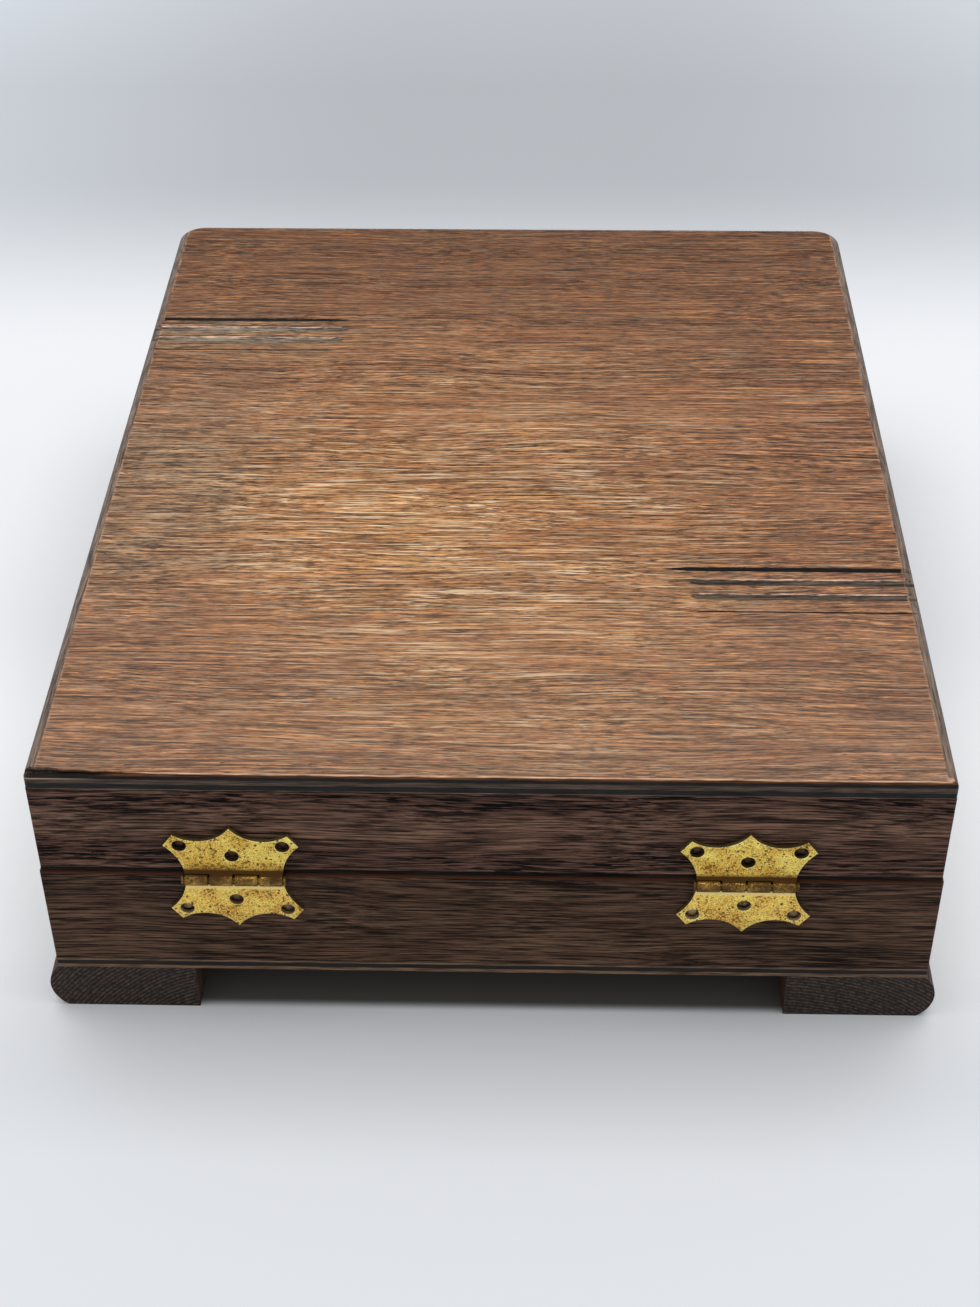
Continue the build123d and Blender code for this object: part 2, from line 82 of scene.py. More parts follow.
def add(tree, kind, *inputs, feeds=(), **settings):
    """Adds a shader node with its settings. Its inputs, in order or by the names in feeds,
    get values or links; a node stands for its first output."""
    made = tree.nodes.new("ShaderNode" + kind)
    for name, value in settings.items():
        setattr(made, name, value)
    in_order = [socket for socket in made.inputs if socket.enabled]
    by_name = [(made.inputs[name], value) for name, value in dict(feeds).items()]
    for socket, value in [*zip(in_order, inputs), *by_name]:
        if isinstance(value, bpy.types.Node):
            value = next(out for out in value.outputs if out.enabled)
        if isinstance(value, bpy.types.NodeSocket):
            tree.links.new(value, socket)
        else:
            socket.default_value = value
    return made


def empty_material(name):
    """A material with no nodes in it yet, and its tree."""
    material = bpy.data.materials.new(name)
    material.use_nodes = True
    material.node_tree.nodes.clear()
    return material, material.node_tree


def mesh_piece(name, points, faces, material):
    """A smooth-shaded mesh object from its points, in metres, and its faces."""
    mesh = bpy.data.meshes.new(name)
    mesh.from_pydata([tuple(p) for p in points], [], faces)
    mesh.materials.append(material)
    mesh.polygons.foreach_set("use_smooth", [True] * len(mesh.polygons))
    made = bpy.data.objects.new(name, mesh)
    bpy.context.scene.collection.objects.link(made)
    return made


# Settings that many nodes share: colours mixed or multiplied, and a soft start and end
in_colour = {"data_type": "RGBA"}
multiplied = {"data_type": "RGBA", "blend_type": "MULTIPLY"}
softly = {"interpolation_type": "SMOOTHSTEP"}

# Matt paper with painted light and shade: whitest next to the chest, a little duller in front
# of it, and painted grey where it lies outside the light, least so to the sides and far behind
paper, tree = empty_material("matt_white_paper")
spot = add(tree, "SeparateXYZ", add(tree, "TexCoord").outputs["Object"])
light_ends, side_light = (-210 * mm, -400 * mm), (50 * mm, 450 * mm)
far_light, white_starts = (-500 * mm, -660 * mm), (-40 * mm, 50 * mm)
white_ends = (back_y - 26 * mm, back_y + 34 * mm)
far = add(tree, "MapRange", spot.outputs["Y"], *light_ends, **softly)
from_middle = add(tree, "Math", spot.outputs["X"], operation="ABSOLUTE")
to_side = add(tree, "MapRange", from_middle, *side_light, **softly)
grey = add(tree, "Mix", to_side, linear("b0b2b6"), linear("d0d5da"), **in_colour)
behind = add(tree, "MapRange", spot.outputs["Y"], *far_light, 1.0, 1.2)
grey = add(tree, "Mix", 1, grey, behind, **multiplied)
painted_light_beside = add(tree, "MapRange", spot.outputs["Y"], *white_starts, **softly)
white = add(tree, "Mix", painted_light_beside, linear("eaebed"), linear("fafbfc"), **in_colour)
painted_shade_in_front = add(tree, "MapRange", spot.outputs["Y"], *white_ends, **softly)
white = add(tree, "Mix", painted_shade_in_front, white, linear("dfe1e4"), **in_colour)
shade = add(tree, "Mix", far, white, grey, **in_colour)
# Light from one side leaves the paper under the real chest black. This room's soft light
# would not, so the paper is darker there, from a little behind the chest's back
covered_half_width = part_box("base_back_wall")[1].x - 5.5 * mm
under = []
for place, half in (("X", covered_half_width), ("Y", back_y)):
    off = add(tree, "Math", spot.outputs[place], operation="ABSOLUTE")
    under.append(add(tree, "MapRange", off, half + 0.8 * mm, half - 3.5 * mm, **softly))
covered = add(tree, "Math", under[0], under[1], operation="MULTIPLY")
shade = add(tree, "Mix", covered, shade, linear("686662"), **in_colour)
finish = add(tree, "BsdfPrincipled", feeds={
    "Base Color": shade, "Roughness": 0.6, "Specular IOR Level": 0.25})
add(tree, "OutputMaterial", finish)

reach = 8
corners = [(-reach, -reach, 0), (reach, -reach, 0), (reach, reach, 0), (-reach, reach, 0)]
table = mesh_piece("table", corners, [(0, 1, 2, 3)], paper)

# The room's walls light the chest less than they shine to the eye and in the brass
world = bpy.data.worlds.new("pale_room")
world.use_nodes = True
tree = world.node_tree
tree.nodes.clear()
room = add(tree, "Background", linear("e9ecf0"), 0.62)
seen = add(tree, "Background", linear("cdd2d7"), 1.0)
ray = add(tree, "LightPath").outputs
looks_at_it = add(tree, "Math", ray["Is Camera Ray"], ray["Is Glossy Ray"], operation="MAXIMUM")
looks_at_it = add(tree, "Math", looks_at_it, ray["Is Transmission Ray"], operation="MAXIMUM")
add(tree, "OutputWorld", add(tree, "MixShader", looks_at_it, room, seen))
bpy.context.scene.world = world

diffuser = bpy.data.objects.new("diffuser", bpy.data.lights.new("diffuser", "AREA"))
diffuser.data.shape = "RECTANGLE"
diffuser.data.size = 1.7
diffuser.data.size_y = 1.0
diffuser.data.energy = 16
diffuser.location = (0, -0.15, 1.4)
bpy.context.scene.collection.objects.link(diffuser)


# ---------------------------------------------------------------------------
# Walls of the base and the lid: red oak boards, planed, stained dark brown and
# lacquered thin, so that the open pores read as black dashes along the grain.
# ---------------------------------------------------------------------------
def in_millimetres(tree, turn=0, shift=(0, 0, 0)):
    """The place on a piece in mm, turned about Z so that x runs along its grain."""
    place = add(tree, "TexCoord").outputs["Object"]
    return add(tree, "Mapping", place, shift, (0, 0, turn), (1 / mm,) * 3)


def stretched(tree, place, along, across, detail=2, roughness=0.55):
    """Noise whose marks are as long and as wide as that, in mm."""
    per_mark = (1 / along, 1 / across, 1 / across)
    scaled = add(tree, "VectorMath", place, per_mark, operation="MULTIPLY")
    return add(tree, "TexNoise", scaled, 1, detail, roughness)


def oak_figure(tree, board, pith, ring_width, wander):
    """What the saw opens in an oak board: its place with the grain's wander, and how far into
    the open-pored part of a year's ring it is. pith is the tree's middle, in mm, across the
    grain."""
    drift = stretched(tree, board, 100, 30, 1).outputs["Color"]
    place = add(tree, "VectorMath", drift, (0, wander, wander), board, operation="MULTIPLY_ADD")
    across = add(tree, "VectorMath", place, (0, 1, 1), (0, -pith[0], -pith[1]),
                 operation="MULTIPLY_ADD")
    radius = add(tree, "VectorMath", across, operation="LENGTH").outputs["Value"]
    year = add(tree, "Math", radius, ring_width, operation="PINGPONG")
    early = add(tree, "MapRange", year, 0.3 * ring_width, 0.85 * ring_width)
    return place, early


def stained_wall(name, turn, shift, shades, seam_edge, seam_reach):
    """One board's material. turn is 0 where its grain runs along X, and a quarter turn along Y;
    shades are its wood from dark to light, and seam_edge its tone along the seam."""
    material, tree = empty_material(name)
    board = in_millimetres(tree, turn, shift)
    place, early = oak_figure(tree, board, pith=(-60, 10), ring_width=4.5, wander=8)
    # Real pores are 0.3 mm wide: they are drawn 0.7 mm wide, to show at this distance
    pores = add(tree, "MapRange", stretched(tree, place, 15, 0.7, 3, 0.62), 0.51, 0.56)
    strength = add(tree, "MapRange", early, 0, 1, 0.4, 1.0)
    dashes = add(tree, "Math", pores, strength, operation="MULTIPLY")
    fibre = stretched(tree, place, 18, 0.6, 3, 0.65)
    fibre = add(tree, "MapRange", fibre, 0.39, 0.61, 0.15, 1.9)
    patches = add(tree, "MapRange", stretched(tree, place, 60, 9), 0.35, 0.68)
    wood = add(tree, "Mix", patches, linear(shades[1]), linear(shades[2]), **in_colour)
    late = add(tree, "Math", early, 0.6, operation="MULTIPLY")
    wood = add(tree, "Mix", late, wood, linear(shades[0]), **in_colour)
    wood = add(tree, "Mix", 1, wood, fibre, **multiplied)
    wood = add(tree, "Mix", dashes, wood, linear("110b0a"), **in_colour)
    # Along the seam the lid's edge is painted black, as shade in the gap with pooled stain, and
    # the base's edge has worn to red-brown
    height = add(tree, "SeparateXYZ", add(tree, "TexCoord").outputs["Object"]).outputs["Z"]
    from_seam = add(tree, "Math", height, seam_z, operation="SUBTRACT")
    from_seam = add(tree, "Math", from_seam, operation="ABSOLUTE")
    at_seam = add(tree, "MapRange", from_seam, (seam_reach + 0.3) * mm, seam_reach * mm, 0, 0.95)
    flat = add(tree, "SeparateXYZ", add(tree, "TexCoord").outputs["Normal"]).outputs["Z"]
    upright = add(tree, "MapRange", add(tree, "Math", flat, operation="ABSOLUTE"), 0.95, 0.85)
    at_seam = add(tree, "Math", at_seam, upright, operation="MULTIPLY")
    wood = add(tree, "Mix", at_seam, wood, linear(seam_edge), **in_colour)
    relief = add(tree, "Math", dashes, -1.0, fibre, operation="MULTIPLY_ADD")
    bump = add(tree, "Bump", feeds={"Height": relief, "Strength": 0.6, "Distance": 0.12 * mm})
    gloss = add(tree, "MapRange", dashes, 0, 1, 0.5, 0.85)
    finish = add(tree, "BsdfPrincipled", feeds={
        "Base Color": wood, "Roughness": gloss, "Normal": bump, "Specular IOR Level": 0.07})
    add(tree, "OutputMaterial", finish)
    return material


quarter = pi / 2
turns = {"back": 0, "front": 0, "left": quarter, "right": quarter}
walls = [(part, hand) for part in ("base", "lid") for hand in turns]
for number, (part, hand) in enumerate(walls):
    if part == "base":
        shades, seam_edge, seam_reach = ("372720", "4a3528", "5b4434"), "4c2b19", 0.9
    else:
        # The lid's seam edge is painted black, as shade in the seam's gap with pooled stain
        shades, seam_edge = ("483028", "5b4236", "705444"), "040302"
        seam_reach = 1.7 if hand == "back" else 0.8
    # Each board is sawn from another part of the tree
    shift = (131 * number, 47 * number, 29 * number)
    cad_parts[f"{part}_{hand}_wall"].data.materials[0] = stained_wall(
        f"dark_stained_oak_{number}", turns[hand], shift, shades, seam_edge, seam_reach)


# ---------------------------------------------------------------------------
# Bottom panel: thin three-ply, glued under the walls. Its sawn edge shows two
# face plies with the dark end grain of the core between them.
# ---------------------------------------------------------------------------
def plies(tree, place, ground, levels):
    """Colours laid over each other by height: each starts at its level, in mm, and goes up."""
    wobble = stretched(tree, place, 12, 2).outputs["Color"]
    lifted = add(tree, "VectorMath", wobble, (0, 0, 0.4), place, operation="MULTIPLY_ADD")
    height = add(tree, "SeparateXYZ", lifted).outputs["Z"]
    height = add(tree, "Math", height, 0.2, operation="SUBTRACT")
    colour = ground
    for level, tone in levels:
        over = add(tree, "MapRange", height, level - 0.12, level + 0.12)
        colour = add(tree, "Mix", over, colour, linear(tone), **in_colour)
    fibre = stretched(tree, place, 9, 0.55, 3, 0.6)
    fibre = add(tree, "MapRange", fibre, 0.35, 0.65, 0.35, 1.65)
    return add(tree, "Mix", 1, colour, fibre, **multiplied)


# Sawn plywood has no lacquer, and drinks the stain: it is matt, with dark and pale bands
bottom_ply, tree = empty_material("sawn_plywood_edge")
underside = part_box("bottom_panel")[0].z / mm
edge = plies(tree, in_millimetres(tree), linear("6c533f"), (
    (underside + 1.3, "1d1714"), (underside + 2.9, "6a513d"), (underside + 3.7, "1a1412")))
finish = add(tree, "BsdfPrincipled", feeds={
    "Base Color": edge, "Roughness": 0.75, "Specular IOR Level": 0.25})
add(tree, "OutputMaterial", finish)
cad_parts["bottom_panel"].data.materials[0] = bottom_ply


# ---------------------------------------------------------------------------
# Runners: two oak bars along the sides, with their outer sides rounded on a
# moulder. Their sawn ends drank the stain, and show the year rings as stripes.
# ---------------------------------------------------------------------------
for hand, pith in {"left": (70, -40), "right": (-85, -48)}.items():
    sawn_oak, tree = empty_material(f"sawn_oak_runner_{hand}")
    board = in_millimetres(tree, quarter)
    place, early = oak_figure(tree, board, pith, ring_width=0.62, wander=3)
    broken = add(tree, "MapRange", stretched(tree, board, 30, 0.9), 0.35, 0.65, 0.35, 1.0)
    ring = add(tree, "Math", early, broken, operation="MULTIPLY")
    rays = add(tree, "TexNoise", board, 0.7, 3, 0.7)
    rays = add(tree, "MapRange", rays, 0.38, 0.62, 0.35, 1.4)
    end = add(tree, "Mix", ring, linear("271f1b"), linear("564438"), **in_colour)
    end = add(tree, "Mix", 1, end, rays, **multiplied)
    pores = add(tree, "MapRange", stretched(tree, place, 9, 0.8), 0.5, 0.66)
    side = add(tree, "Mix", pores, linear("533c2e"), linear("1a1310"), **in_colour)
    facing = add(tree, "SeparateXYZ", add(tree, "TexCoord").outputs["Normal"]).outputs["Y"]
    sawn = add(tree, "MapRange", add(tree, "Math", facing, operation="ABSOLUTE"), 0.5, 0.9)
    wood = add(tree, "Mix", sawn, side, end, **in_colour)
    relief = add(tree, "Mix", sawn, pores, ring)
    bump = add(tree, "Bump", feeds={"Height": relief, "Strength": 0.6, "Distance": 0.15 * mm})
    finish = add(tree, "BsdfPrincipled", feeds={
        "Base Color": wood, "Roughness": 0.72, "Normal": bump, "Specular IOR Level": 0.25})
    add(tree, "OutputMaterial", finish)
    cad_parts[f"runner_{hand}"].data.materials[0] = sawn_oak


# ---------------------------------------------------------------------------
# Lid top: three-ply with a face of flat-cut red oak, stained red-brown, thinly
# lacquered and worn paler in the middle. Its routed cuts and edges bare the core.
# ---------------------------------------------------------------------------
top_wood, tree = empty_material("stained_oak_plywood_top")
board = in_millimetres(tree)
place, early = oak_figure(tree, board, pith=(40, -70), ring_width=9, wander=9)
spot = add(tree, "SeparateXYZ", board)
across = spot.outputs["Y"]
height = spot.outputs["Z"]
top, back = top_z / mm, back_y / mm
front_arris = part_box("lid_top_panel")[0].y / mm + 2.75
side_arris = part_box("lid_top_panel")[1].x / mm - 3.1


def soft_patches(tree, board, patches):
    """Soft round patches added up: each has its middle, its reach across and along, in mm,
    and its strength."""
    total = 0.0
    for x, y, reach_x, reach_y, strength in patches:
        off = add(tree, "VectorMath", board, (1 / reach_x, 1 / reach_y, 0),
                  (-x / reach_x, -y / reach_y, 0), operation="MULTIPLY_ADD")
        off = add(tree, "VectorMath", off, operation="LENGTH").outputs["Value"]
        patch = add(tree, "MapRange", off, 1.25, 0.1, 0, strength, **softly)
        total = add(tree, "Math", total, patch, operation="ADD", use_clamp=True)
    return total


# Hands and cloths have worn the lacquer in the middle, and dust and wax have turned grey
# along the left side and round the far left cuts
cloudy = stretched(tree, place, 50, 9, 3)
worn = soft_patches(tree, board, (
    (15, 30, 110, 125, 0.7), (55, 40, 50, 60, 0.35), (0, 135, 120, 40, 0.3),
    (-20, 70, 70, 50, 0.25)))
uneven = add(tree, "MapRange", cloudy, 0.25, 0.7, 0.6, 1.15)
worn = add(tree, "Math", worn, uneven, operation="MULTIPLY")
dusty = soft_patches(tree, board, ((112, 20, 45, 75, 0.7), (100, -76, 55, 20, 0.75)))
uneven = add(tree, "MapRange", cloudy, 0.3, 0.65, 0.4, 1.1)
dusty = add(tree, "Math", dusty, uneven, operation="MULTIPLY")

# The real grain's fibres are 0.1 mm wide: the finest lines here are drawn 0.5 mm wide
short_hair = stretched(tree, place, 4, 0.5, 2, 0.6)
long_hair = stretched(tree, place, 45, 0.7, 3, 0.7)
hair = add(tree, "Mix", 0.6, short_hair, long_hair)
glow = add(tree, "MapRange", stretched(tree, place, 40, 0.75, 3, 0.65), 0.51, 0.6)
lines = add(tree, "MapRange", stretched(tree, place, 50, 0.75, 3, 0.65), 0.55, 0.59)
pores = add(tree, "MapRange", stretched(tree, place, 5, 0.6, 2, 0.6), 0.58, 0.64)
deep = add(tree, "MapRange", early, 0, 1, 0.5, 1.0)
dark = add(tree, "Math", lines, pores, operation="MAXIMUM")
dark = add(tree, "Math", dark, deep, operation="MULTIPLY")
shifted = add(tree, "VectorMath", place, (31, 0.6, 17), operation="ADD")
bare = add(tree, "MapRange", stretched(tree, shifted, 30, 0.65, 3, 0.68), 0.57, 0.61)
rubbed_through = add(tree, "MapRange", worn, 0.1, 0.9, 0.2, 1.0)
bare = add(tree, "Math", bare, rubbed_through, operation="MULTIPLY")

# Stain, paler where it is worn, with an orange glow, dark pores and bare pale fibres
tone = add(tree, "MapRange", cloudy, 0.35, 0.65)
stain = add(tree, "Mix", tone, linear("764c34"), linear("7d573e"), **in_colour)
rubbed = add(tree, "Mix", tone, linear("9b6a40"), linear("ab7b4d"), **in_colour)
wood = add(tree, "Mix", worn, stain, rubbed, **in_colour)
wood = add(tree, "Mix", dusty, wood, linear("8b775e"), **in_colour)
glow = add(tree, "Math", glow, 0.55, operation="MULTIPLY")
wood = add(tree, "Mix", glow, wood, linear("c58a58"), **in_colour)
contrast = add(tree, "MapRange", hair, 0.4, 0.6, 0.2, 1.8)
wood = add(tree, "Mix", 1, wood, contrast, **multiplied)
dark = add(tree, "Math", dark, 0.85, operation="MULTIPLY")
wood = add(tree, "Mix", dark, wood, linear("3a2318"), **in_colour)
bare = add(tree, "Math", bare, 0.85, operation="MULTIPLY")
wood = add(tree, "Mix", bare, wood, linear("f2d6b0"), **in_colour)
# Toward the front the stain is painted darker as shade, and toward the back a pale grey sheen
# is painted over it
painted_front_shade = add(tree, "MapRange", across, -170, -20)
painted_front_shade = add(tree, "Mix", painted_front_shade, linear("cbbfa8"), linear("ffffff"), **in_colour)
wood = add(tree, "Mix", 1, wood, painted_front_shade, **multiplied)
painted_back_sheen = add(tree, "MapRange", across, 40, 155, 0, 0.16)
wood = add(tree, "Mix", painted_back_sheen, wood, linear("9c8777"), **in_colour)

# In the cuts, the V and the fine line are painted near black, and the coves are painted dark
# as dirt and shade, with a highlight painted on the walls that face the back
depth = add(tree, "MapRange", height, top - 0.03, top - 1.03)
facing = add(tree, "SeparateXYZ", add(tree, "TexCoord").outputs["Normal"])
ragged = add(tree, "MapRange", short_hair, 0.35, 0.65, -0.3, 0.3)
# Cove walls that face the back get a painted highlight, broken along their tops
painted_highlight_side = add(tree, "Math", ragged, 0.15, facing.outputs["Y"], operation="MULTIPLY_ADD")
painted_highlight_side = add(tree, "MapRange", painted_highlight_side, 0.56, 0.68)
dirt_and_shade = add(tree, "Mix", dusty, linear("40382e"), linear("8d8272"), **in_colour)
cove = add(tree, "Mix", painted_highlight_side, dirt_and_shade, linear("d0ab95"), **in_colour)
cove = add(tree, "Mix", 1, cove, contrast, **multiplied)
in_cove = add(tree, "MapRange", depth, 0.08, 0.3, 0, 0.9)
wood = add(tree, "Mix", in_cove, wood, cove, **in_colour)
vees_from_back = (95.8, 245.3)
vee, fine_line = (0, 1.15), (21.2, 0.5)  # how far past the V each lies, and half its width
for vee_from_back in vees_from_back:
    for past_vee, half_width in (vee, fine_line):
        off = add(tree, "Math", across, back - vee_from_back + past_vee, operation="SUBTRACT")
        off = add(tree, "Math", off, operation="ABSOLUTE")
        off = add(tree, "Math", off, ragged, operation="ADD")
        in_cut = add(tree, "MapRange", off, half_width + 0.3, half_width)
        sunk = add(tree, "MapRange", depth, 0.02, 0.1)
        in_cut = add(tree, "Math", in_cut, sunk, operation="MULTIPLY")
        wood = add(tree, "Mix", in_cut, wood, linear("0d0908"), **in_colour)

# The veneer ends at the arris: a rubbed bright line, then the core and the back ply
back_edge = plies(tree, board, linear("6a5242"), (
    (top - 5.75, "181513"), (top - 3.9, "504034"), (top - 2.2, "15100e"),
    (top - 0.95, "5a3519"), (top - 0.32, "c79c7c")))
side_edge = plies(tree, in_millimetres(tree, quarter), linear("6f5a49"), (
    (top - 5.0, "2e2420"), (top - 3.4, "4a3c32"), (top - 1.7, "3b3029"), (top - 0.9, "6c5b4f")))
at_back = add(tree, "MapRange", across, back - 2.2, back - 1.4)
edge = add(tree, "Mix", at_back, side_edge, back_edge, **in_colour)
from_middle = add(tree, "Math", spot.outputs["X"], operation="ABSOLUTE")
past_arris = add(tree, "Math", from_middle, side_arris, operation="SUBTRACT")
past_arris = add(tree, "Math", ragged, 0.6, past_arris, operation="MULTIPLY_ADD")
off = add(tree, "Math", past_arris, operation="ABSOLUTE")
rim = add(tree, "MapRange", off, 0.5, 0.1)
here_and_there = add(tree, "TexNoise", board, 0.16, 3)
here_and_there = add(tree, "MapRange", here_and_there, 0.42, 0.62, 0, 0.75)
rim = add(tree, "Math", rim, here_and_there, operation="MULTIPLY")
wood = add(tree, "Mix", rim, wood, linear("b48d70"), **in_colour)
past_side = add(tree, "MapRange", past_arris, 0.05, 0.25)
past_back = add(tree, "MapRange", across, back - 0.75, back - 0.5)
below_veneer = add(tree, "MapRange", depth, 0.1, 0.2)
near_back = add(tree, "MapRange", across, back - 6, back - 5.5)
chipped = add(tree, "Math", below_veneer, near_back, operation="MULTIPLY")
past_back = add(tree, "Math", past_back, chipped, operation="MAXIMUM")
past_front = add(tree, "MapRange", across, front_arris, front_arris - 0.3)
on_edge = add(tree, "Math", past_side, past_back, operation="MAXIMUM")
on_edge = add(tree, "Math", on_edge, past_front, operation="MAXIMUM")
wood = add(tree, "Mix", on_edge, wood, edge, **in_colour)
# Below the broken corner a pale splinter still clings to the core
off = add(tree, "Math", height, top - 2.3, operation="SUBTRACT")
off = add(tree, "Math", off, operation="ABSOLUTE")
clinging = add(tree, "MapRange", off, 0.32, 0.12)
near_corner = add(tree, "MapRange", spot.outputs["X"], 106, 118, 0, 0.85)
clinging = add(tree, "Math", clinging, near_corner, operation="MULTIPLY")
clinging = add(tree, "Math", clinging, at_back, operation="MULTIPLY")
wood = add(tree, "Mix", clinging, wood, linear("b39a7c"), **in_colour)

hair = add(tree, "Math", hair, 0.5, operation="MULTIPLY")
relief = add(tree, "Math", dark, -1.0, hair, operation="MULTIPLY_ADD")
bump = add(tree, "Bump", feeds={"Height": relief, "Strength": 0.6, "Distance": 0.12 * mm})
gloss = add(tree, "MapRange", dark, 0, 0.85, 0.42, 0.7)
finish = add(tree, "BsdfPrincipled", feeds={
    "Base Color": wood, "Roughness": gloss, "Normal": bump, "Specular IOR Level": 0.18})
add(tree, "OutputMaterial", finish)

panel = bpy.data.objects.new("chipped_lid_top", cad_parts["lid_top_panel"].data.copy())
panel.data.materials.clear()
panel.data.materials.append(top_wood)
bpy.context.scene.collection.objects.link(panel)
whole = bmesh.new()
whole.from_mesh(panel.data)
bmesh.ops.remove_doubles(whole, verts=whole.verts, dist=0.002 * mm)
whole.to_mesh(panel.data)
whole.free()
# A splinter has broken off the face veneer at the near left corner: where its edge runs, how
# far in from the back it reaches, and how deep
splinter = ((88, 0.15, 0.2), (94, 0.5, 0.6), (99, 0.65, 0.75), (104, 1.15, 1.0),
            (108, 1.0, 1.15), (112, 1.6, 1.3), (116, 1.45, 1.5), (120, 2.2, 1.6),
            (123.5, 2.1, 1.9), (130, 2.9, 2.1))
outside = 2
points, faces = [], []
for x, inward, deep in splinter:
    for y, z in ((back - inward, top - deep), (back - inward, top + outside),
                 (back + outside, top + outside), (back + outside, top - deep)):
        points.append((x * mm, y * mm, z * mm))
for i in range(len(splinter) - 1):
    for j in range(4):
        k = (j + 1) % 4
        faces.append((4 * i + j, 4 * i + 4 + j, 4 * i + 4 + k, 4 * i + k))
faces += [(0, 1, 2, 3), tuple(4 * (len(splinter) - 1) + j for j in (3, 2, 1, 0))]
chip = mesh_piece("chip", points, faces, top_wood)
breaking = panel.modifiers.new("chip", "BOOLEAN")
breaking.operation = "DIFFERENCE"
breaking.solver = "EXACT"
breaking.object = chip
broken_panel = panel.evaluated_get(bpy.context.evaluated_depsgraph_get())
chipped_mesh = bpy.data.meshes.new_from_object(broken_panel)
panel.modifiers.clear()
panel.data = chipped_mesh
bpy.data.objects.remove(chip)
# The arris and the cuts are rounded, and the large flat faces stay flat to their edges
whole = bmesh.new()
whole.from_mesh(panel.data)
for edge in whole.edges:
    edge.smooth = edge.calc_face_angle(0) < radians(30) and all(
        face.calc_area() < (20 * mm) ** 2 for face in edge.link_faces)
whole.to_mesh(panel.data)
whole.free()
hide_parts("lid_top_panel")
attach(panel, "lid")


# ---------------------------------------------------------------------------
# Butterfly hinges: stamped brass, each leaf bent up and rolled round the pin.
# Their lacquer has gone, dark tarnish speckles them, and the rolls are bronze-brown.
# ---------------------------------------------------------------------------
def speckled_brass(name, clean, aged, speckle, rough, metal=1.0, bend=None):
    """Brass gone dull: aged is the tone it turns to, speckle the share that is spotted, and
    bend the heights between which it turns to the tone of the bend."""
    material, tree = empty_material(name)
    place = in_millimetres(tree)
    cloud = add(tree, "TexNoise", place, 0.16, 3)
    # The smallest real spots are 0.1 mm: they are drawn from 0.25 mm up
    small = add(tree, "TexNoise", place, 2.4, 1, 0.6)
    large = add(tree, "TexNoise", place, 1.1, 1, 0.6)
    fine = add(tree, "TexNoise", place, 3.4, 2)
    mixed = add(tree, "Math", small, large, operation="MAXIMUM")
    mixed = add(tree, "Math", cloud, 0.35, mixed, operation="MULTIPLY_ADD")
    tarnish = add(tree, "MapRange", mixed, 0.97 - speckle, 1.03 - speckle, 0, 0.7)
    cells = add(tree, "TexVoronoi", place, 0.8)
    size = add(tree, "SeparateColor", cells.outputs["Color"])
    size = add(tree, "Math", size, 0.42, operation="MULTIPLY")
    dots = add(tree, "Math", cells, size, operation="SUBTRACT")
    dots = add(tree, "MapRange", dots, 0, -0.1, 0, 0.9)
    tarnish = add(tree, "Math", tarnish, dots, operation="MAXIMUM")
    cloudy = add(tree, "MapRange", cloud, 0.35, 0.65)
    brass = add(tree, "Mix", cloudy, linear(clean), linear(aged), **in_colour)
    grain = add(tree, "MapRange", fine, 0.36, 0.64, 0.6, 1.4)
    brass = add(tree, "Mix", 1, brass, grain, **multiplied)
    brass = add(tree, "Mix", tarnish, brass, linear("4f330b"), **in_colour)
    if bend:
        height = add(tree, "SeparateXYZ", place).outputs["Z"]
        in_bend = add(tree, "MapRange", height, bend[0], bend[1], 0, 0.97)
        brass = add(tree, "Mix", in_bend, brass, linear(bend[2]), **in_colour)
    pitted = add(tree, "Math", tarnish, -0.6, operation="MULTIPLY")
    relief = add(tree, "Math", fine, 0.5, pitted, operation="MULTIPLY_ADD")
    bump = add(tree, "Bump", feeds={"Height": relief, "Strength": 0.6, "Distance": 0.1 * mm})
    metal = add(tree, "MapRange", tarnish, 0, 0.9, metal, 0.45 * metal)
    gloss = add(tree, "MapRange", tarnish, 0, 0.9, rough, 0.7)
    finish = add(tree, "BsdfPrincipled", feeds={
        "Base Color": brass, "Metallic": metal, "Roughness": gloss, "Normal": bump})
    add(tree, "OutputMaterial", finish)
    return material


# The pins give the leaves their place, in mm: out from the middle, off the wood and up
pin = sum(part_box("hinge_pin_left"), Vector()) / 2 / mm
hinge_x, axis_off_wood, axis_z = round(pin.x, 3), round(pin.y - back, 3), round(pin.z, 3)
# The faces are still yellow; the upper leaf's bend is painted dark as tarnish and shade, and a
# highlight is painted along the lower one's bend
lid_brass = speckled_brass("stamped_brass_speckled", "fcd86c", "dcac48", speckle=0.2, rough=0.34,
                           bend=(axis_z + 4.1, axis_z + 3.0, "4a2a0e"))
base_brass = speckled_brass("stamped_brass_worn", "fcd46c", "e6b556", speckle=0.18, rough=0.34,
                            bend=(axis_z - 4.4, axis_z - 4.1, "f2d68a"))
# No cloth reaches the cut edges and the rolls: they are dull and brown with tarnish, and the
# edges are painted darker still as shade
edge_brass = speckled_brass("stamped_brass_dark_edge", "6b5a28", "453719", speckle=0.2,
                            rough=0.55, metal=0.4)
# Under the rolls and pins a shadow is painted dark, below their axis
roll_brass = speckled_brass("rolled_brass_bronzed", "b08842", "4a351a", speckle=0.28, rough=0.32,
                            bend=(axis_z - 0.7, axis_z - 1.15, "1c1108"))
# The eased rims get a painted highlight
highlight_rim_brass = speckled_brass("stamped_brass_highlight_rim", "fbe49a", "deba66", speckle=0.15,
                           rough=0.32)
# The punch left the holes' walls torn; in the base leaves they are painted pale, as light
# falling into them
painted_light_hole_brass = speckled_brass("punched_brass_hole", "c8ae78", "8f7648", speckle=0.15, rough=0.5,
                            metal=0.3)
